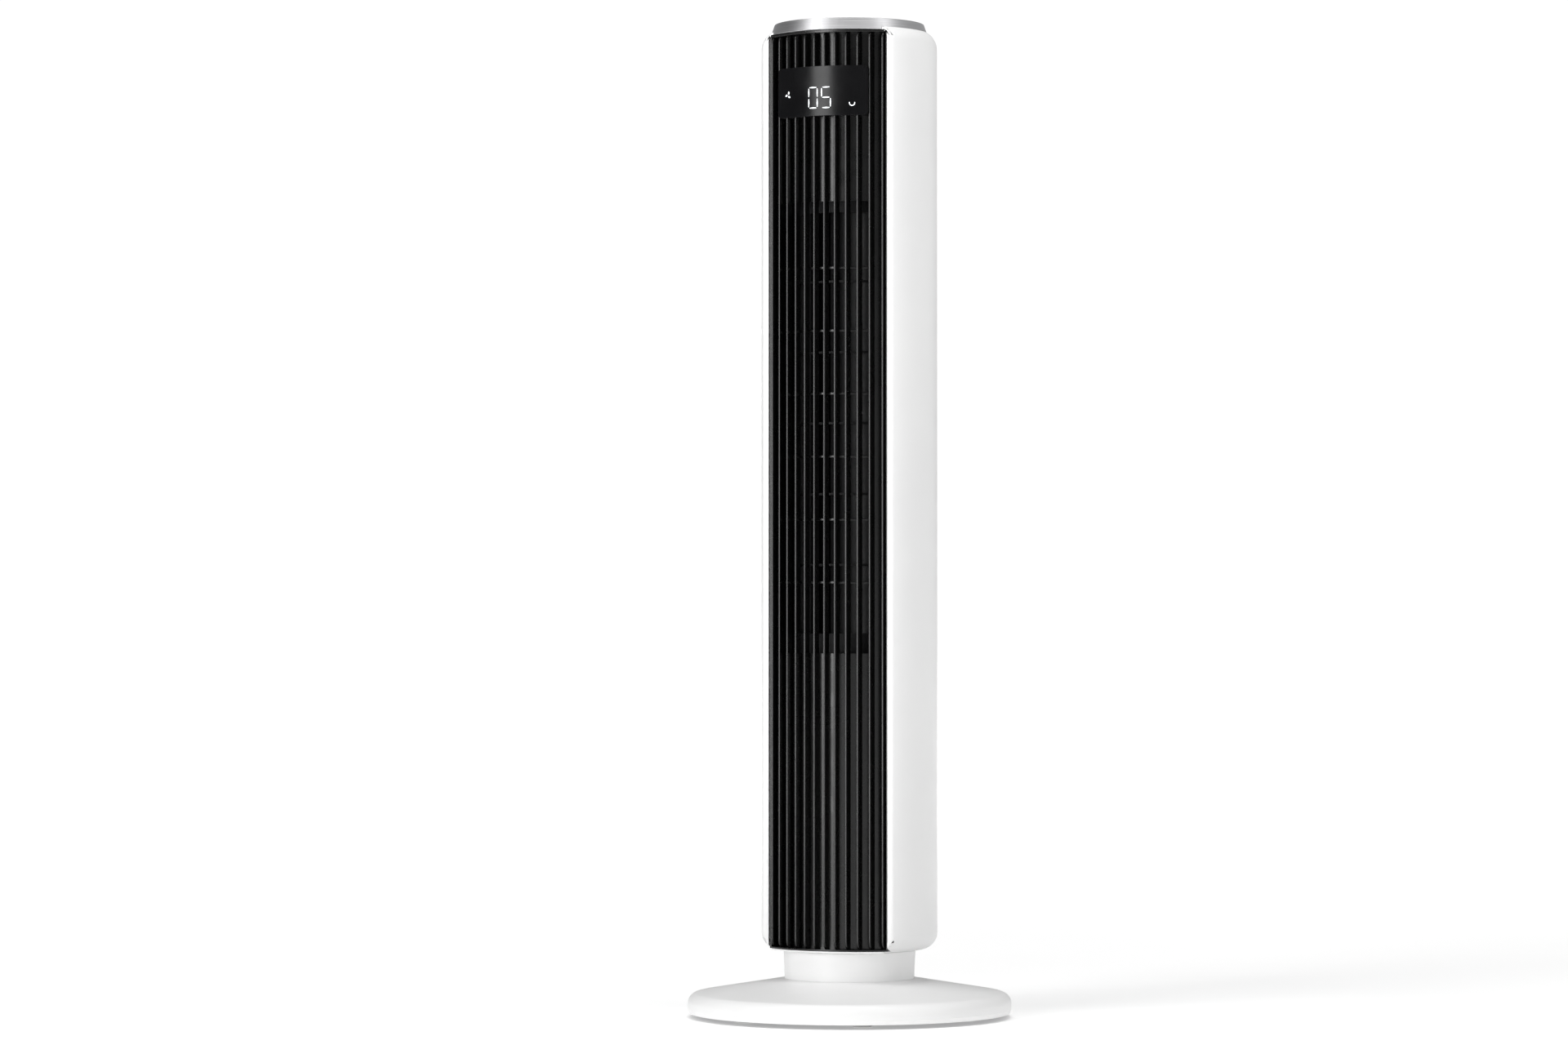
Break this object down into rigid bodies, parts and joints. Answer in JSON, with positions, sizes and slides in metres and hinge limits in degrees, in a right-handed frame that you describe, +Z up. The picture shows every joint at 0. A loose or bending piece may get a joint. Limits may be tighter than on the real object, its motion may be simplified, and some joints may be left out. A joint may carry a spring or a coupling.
{
  "type": "tower fan",
  "caption": "Slim tower fan: ribbed front outlet with a display, round swivelling body, ball-race neck and a wide round base.",
  "frame": {"origin": "on the floor, under the centre of the round base", "axes": "+Z up along the tower, the outlet faces -Y"},
  "size_m": [0.3, 0.3, 0.92],
  "materials": {
    "white_shell": "satin moulded ABS, fine even texture",
    "white_base": "satin moulded ABS",
    "black_grille": "semi-gloss black ABS",
    "black_gloss": "polished black acrylic",
    "black_plastic": "matt black ABS",
    "grey_plastic": "matt grey ABS",
    "natural_plastic": "natural acetal",
    "trim": "brushed around the ring",
    "steel": "plain steel",
    "ballast": "black painted iron",
    "ball_steel": "polished",
    "rubber": "matt",
    "foot_rubber": "white rubber",
    "copper": "varnished copper wire",
    "bronze": "sintered bronze",
    "board": "green solder mask",
    "device": "moulded component cases",
    "button": "soft-touch black"
  },
  "bodies": {
    "base": {"base_cover": "white_base", "base_plate": "grey_plastic", "rubber_feet": "foot_rubber", "base_screws": "steel", "ballast_ring": "ballast", "cord_gland": "rubber", "neck": "white_base", "lock_nut": "white_base", "ring_gear": "natural_plastic", "lower_race": "steel"},
    "balls": {"bearing_balls": "ball_steel", "ball_cage": "natural_plastic"},
    "pinion": {"swivel_pinion": "natural_plastic", "pinion_shaft": "steel"},
    "tower": {"turntable": "white_shell", "upper_race": "steel", "retainer_plate": "steel", "retainer_screws": "steel", "swivel_motor": "steel", "main_board": "board", "board_parts": "device", "front_grille": "black_grille", "display_housing": "black_plastic", "display_window": "black_gloss", "display_board": "board", "led_module": "device", "rear_shell": "white_shell", "handle_cup": "white_shell", "intake_grille": "white_shell", "intake_screws": "steel", "top_deck": "white_shell", "trim_ring": "trim", "control_panel": "black_gloss", "control_board": "board", "tact_switches": "device", "motor_stator": "steel", "motor_coils": "copper", "motor_housing": "steel", "motor_bearings": "bronze", "motor_mount": "rubber", "motor_bracket": "black_plastic", "lower_bulkhead": "black_plastic", "upper_bulkhead": "black_plastic", "bush_rubber": "rubber", "upper_bush": "bronze", "scroll_wall": "black_plastic", "tongue_wall": "black_plastic", "duct_screws": "steel", "wire_loom": "rubber"},
    "rotor": {"impeller": "black_plastic", "impeller_hub": "steel", "hub_rubber": "rubber", "top_shaft": "steel", "motor_shaft": "steel", "motor_rotor": "steel"},
    "power_button_body": {"power_button": "button"},
    "speed_button_body": {"speed_button": "button"},
    "swing_button_body": {"swing_button": "button"},
    "timer_button_body": {"timer_button": "button"},
    "mode_button_body": {"mode_button": "button"}
  },
  "joints": [
    {"name": "swivel", "type": "hinge", "parent": "base", "child": "tower", "pos_m": [0, 0, 0.063], "axis": [0, 0, 1], "range_deg": [-45, 45]},
    {"name": "ball_orbit", "type": "hinge", "parent": "base", "child": "balls", "pos_m": [0, 0, 0.0525], "axis": [0, 0, 1], "range_deg": [-22.5, 22.5]},
    {"name": "pinion_spin", "type": "hinge", "parent": "tower", "child": "pinion", "pos_m": [0, 0.027, 0.052], "axis": [0, 0, 1], "range_deg": [-180, 180]},
    {"name": "impeller_spin", "type": "hinge", "parent": "tower", "child": "rotor", "pos_m": [0, 0.006, 0.5], "axis": [0, 0, 1], "continuous": true},
    {"name": "power_press", "type": "slide", "parent": "tower", "child": "power_button_body", "axis": [0, 0, -1], "range_m": [0, 0.0008], "stiffness_N_per_m": 400, "springref_m": -0.003},
    {"name": "speed_press", "type": "slide", "parent": "tower", "child": "speed_button_body", "axis": [0, 0, -1], "range_m": [0, 0.0008], "stiffness_N_per_m": 400, "springref_m": -0.003},
    {"name": "swing_press", "type": "slide", "parent": "tower", "child": "swing_button_body", "axis": [0, 0, -1], "range_m": [0, 0.0008], "stiffness_N_per_m": 400, "springref_m": -0.003},
    {"name": "timer_press", "type": "slide", "parent": "tower", "child": "timer_button_body", "axis": [0, 0, -1], "range_m": [0, 0.0008], "stiffness_N_per_m": 400, "springref_m": -0.003},
    {"name": "mode_press", "type": "slide", "parent": "tower", "child": "mode_button_body", "axis": [0, 0, -1], "range_m": [0, 0.0008], "stiffness_N_per_m": 400, "springref_m": -0.003}
  ],
  "couplings": [
    {"joint": "ball_orbit", "follows": "swivel", "ratio": 0.5},
    {"joint": "pinion_spin", "follows": "swivel", "ratio": -4}
  ]
}
